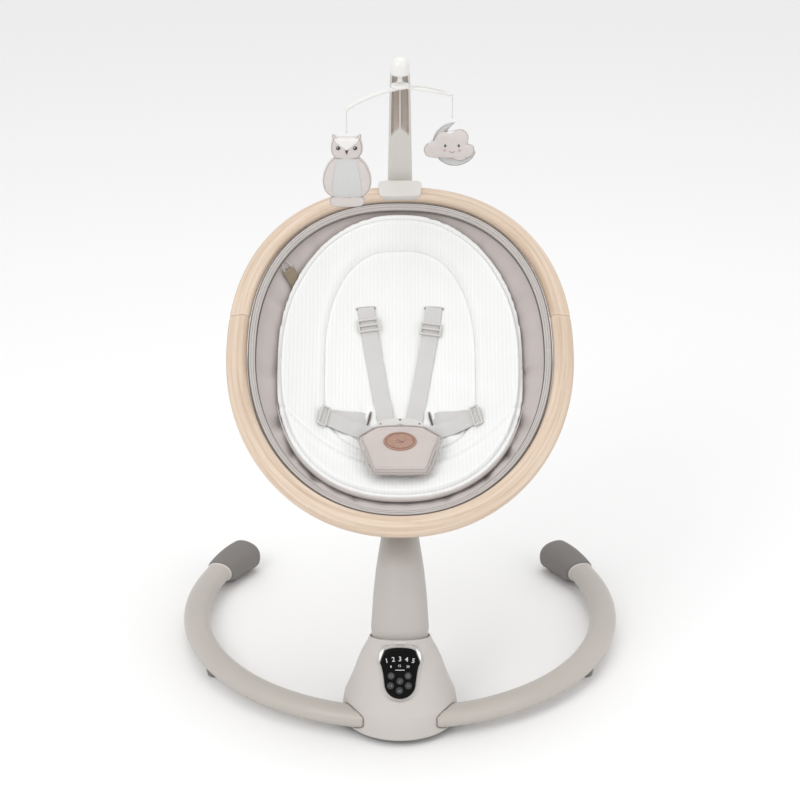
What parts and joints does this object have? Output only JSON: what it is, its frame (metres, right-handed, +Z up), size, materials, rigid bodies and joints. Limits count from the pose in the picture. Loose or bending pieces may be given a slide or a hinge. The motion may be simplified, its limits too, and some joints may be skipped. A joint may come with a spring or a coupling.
{
  "type": "baby swing",
  "caption": "Electric baby swing: a tilted wood-look ring seat with harness and toy mobile, on a swinging column over a motor housing and an open C-shaped floor tube.",
  "frame": {"origin": "on the floor, under the middle of the whole object's bounding box", "axes": "+Z up, -Y towards the front with the control panel, +X to the right seen from the front"},
  "size_m": [0.6696, 0.5882, 0.912],
  "materials": {
    "badge_leather": "embossed",
    "black_gloss": "high gloss",
    "board_green": "solder mask",
    "bronze": "sintered",
    "button_grey": "matt",
    "copper": "enamelled winding",
    "dark_rubber": "soft matt",
    "inlay_white": "ribbed knit",
    "mauve_fabric": "woven mesh",
    "pad_fabric": "woven cover",
    "pale_wood": "clear satin lacquer",
    "plastic_grey_beige": "satin, fine texture",
    "plastic_light": "satin",
    "steel": "zinc-plated",
    "toy_fabric": "short plush",
    "tube_paint": "satin paint",
    "webbing": "flat weave"
  },
  "bodies": {
    "base": {"housing_shell": "plastic_grey_beige", "base_arm_left": "tube_paint", "base_arm_right": "tube_paint", "arm_cap_left": "dark_rubber", "arm_cap_right": "dark_rubber", "arm_foot_left": "dark_rubber", "arm_foot_right": "dark_rubber", "housing_bottom_plate": "plastic_grey_beige", "housing_foot_ring": "dark_rubber", "chassis": "steel", "pivot_bush_front": "bronze", "pivot_bush_rear": "bronze", "drive_coil": "copper", "return_spring_left": "steel", "return_spring_right": "steel", "control_panel": "black_gloss", "control_board": "board_green", "speaker": "button_grey", "power_inlet": "button_grey"},
    "power_button_cap": {"power_button": "button_grey"},
    "timer_button_cap": {"timer_button": "button_grey"},
    "melody_button_cap": {"melody_button": "button_grey"},
    "sound_button_cap": {"sound_button": "button_grey"},
    "speed_button_cap": {"speed_button": "button_grey"},
    "volume_button_cap": {"volume_button": "button_grey"},
    "column": {"column_shell": "plastic_grey_beige", "column_tube": "steel", "column_head": "plastic_grey_beige", "recline_pin": "steel", "pivot_shaft": "steel", "swing_lever": "steel", "drive_magnet": "steel"},
    "seat": {"seat_keel": "plastic_grey_beige", "ring_upper": "pale_wood", "ring_lower": "pale_wood", "bowl_fabric": "mauve_fabric", "seat_inlay": "inlay_white", "shoulder_strap_left": "webbing", "shoulder_strap_right": "webbing", "shoulder_adjuster_left": "plastic_light", "shoulder_adjuster_right": "plastic_light", "waist_strap_left": "webbing", "waist_strap_right": "webbing", "waist_adjuster_left": "plastic_light", "waist_adjuster_right": "plastic_light", "harness_buckle": "plastic_light", "crotch_pad": "pad_fabric", "pad_badge": "badge_leather", "side_label": "badge_leather", "head_saddle": "plastic_light"},
    "lever": {"recline_lever": "dark_rubber"},
    "release": {"buckle_button": "button_grey"},
    "bar": {"toy_bar": "plastic_light"},
    "mobile": {"mobile_hub": "plastic_light", "mobile_crossbar": "plastic_light"},
    "owl_line": {"owl_string": "webbing"},
    "owl": {"owl_toy": "toy_fabric"},
    "moon_line": {"moon_string": "webbing"},
    "moon": {"moon_toy": "toy_fabric", "cloud_toy": "toy_fabric"}
  },
  "joints": [
    {"name": "swing", "type": "hinge", "parent": "base", "child": "column", "pos_m": [0, -0.20312, 0.135], "axis": [0, 0.9563, -0.2924], "range_deg": [-6, 6], "stiffness_Nm_per_rad": 90, "deforming": ["return_spring_left", "return_spring_right"]},
    {"name": "recline", "type": "hinge", "parent": "column", "child": "seat", "pos_m": [0, -0.05612, 0.2755], "axis": [-1, 0, 0], "range_deg": [0, 12]},
    {"name": "recline_release", "type": "hinge", "parent": "seat", "child": "lever", "pos_m": [0, -0.00569, 0.3116], "axis": [-1, 0, 0], "range_deg": [0, 15], "stiffness_Nm_per_rad": 0.6, "springref_deg": -11.46},
    {"name": "buckle_press", "type": "slide", "parent": "seat", "child": "release", "axis": [0, 0.3827, -0.9239], "range_m": [0, 0.001], "stiffness_N_per_m": 400, "springref_m": -0.0005},
    {"name": "power_press", "type": "slide", "parent": "base", "child": "power_button_cap", "axis": [0, 0.9408, -0.339], "range_m": [0, 0.0008], "stiffness_N_per_m": 300, "springref_m": -0.0004},
    {"name": "timer_press", "type": "slide", "parent": "base", "child": "timer_button_cap", "axis": [0, 0.9408, -0.339], "range_m": [0, 0.0008], "stiffness_N_per_m": 300, "springref_m": -0.0004},
    {"name": "melody_press", "type": "slide", "parent": "base", "child": "melody_button_cap", "axis": [0, 0.9408, -0.339], "range_m": [0, 0.0008], "stiffness_N_per_m": 300, "springref_m": -0.0004},
    {"name": "sound_press", "type": "slide", "parent": "base", "child": "sound_button_cap", "axis": [0, 0.9408, -0.339], "range_m": [0, 0.0008], "stiffness_N_per_m": 300, "springref_m": -0.0004},
    {"name": "speed_press", "type": "slide", "parent": "base", "child": "speed_button_cap", "axis": [0, 0.9408, -0.339], "range_m": [0, 0.0008], "stiffness_N_per_m": 300, "springref_m": -0.0004},
    {"name": "volume_press", "type": "slide", "parent": "base", "child": "volume_button_cap", "axis": [0, 0.9408, -0.339], "range_m": [0, 0.0008], "stiffness_N_per_m": 300, "springref_m": -0.0004},
    {"name": "bar_lift", "type": "slide", "parent": "seat", "child": "bar", "axis": [0, 0, 1], "range_m": [0, 0.03]},
    {"name": "mobile_spin", "type": "hinge", "parent": "bar", "child": "mobile", "pos_m": [0, 0.05188, 0.872], "axis": [0, 0, 1], "continuous": true},
    {"name": "owl_sway", "type": "hinge", "parent": "mobile", "child": "owl_line", "pos_m": [-0.07522, 0.0168, 0.844], "axis": [0.9063, 0.4226, 0], "range_deg": [-20, 20]},
    {"name": "owl_twist", "type": "hinge", "parent": "owl_line", "child": "owl", "pos_m": [-0.07522, 0.0168, 0.8114], "axis": [0, 0, 1], "range_deg": [-45, 45]},
    {"name": "moon_sway", "type": "hinge", "parent": "mobile", "child": "moon_line", "pos_m": [0.07522, 0.08696, 0.844], "axis": [0.9063, 0.4226, 0], "range_deg": [-20, 20]},
    {"name": "moon_twist", "type": "hinge", "parent": "moon_line", "child": "moon", "pos_m": [0.07522, 0.08696, 0.8129], "axis": [0, 0, 1], "range_deg": [-45, 45]}
  ]
}
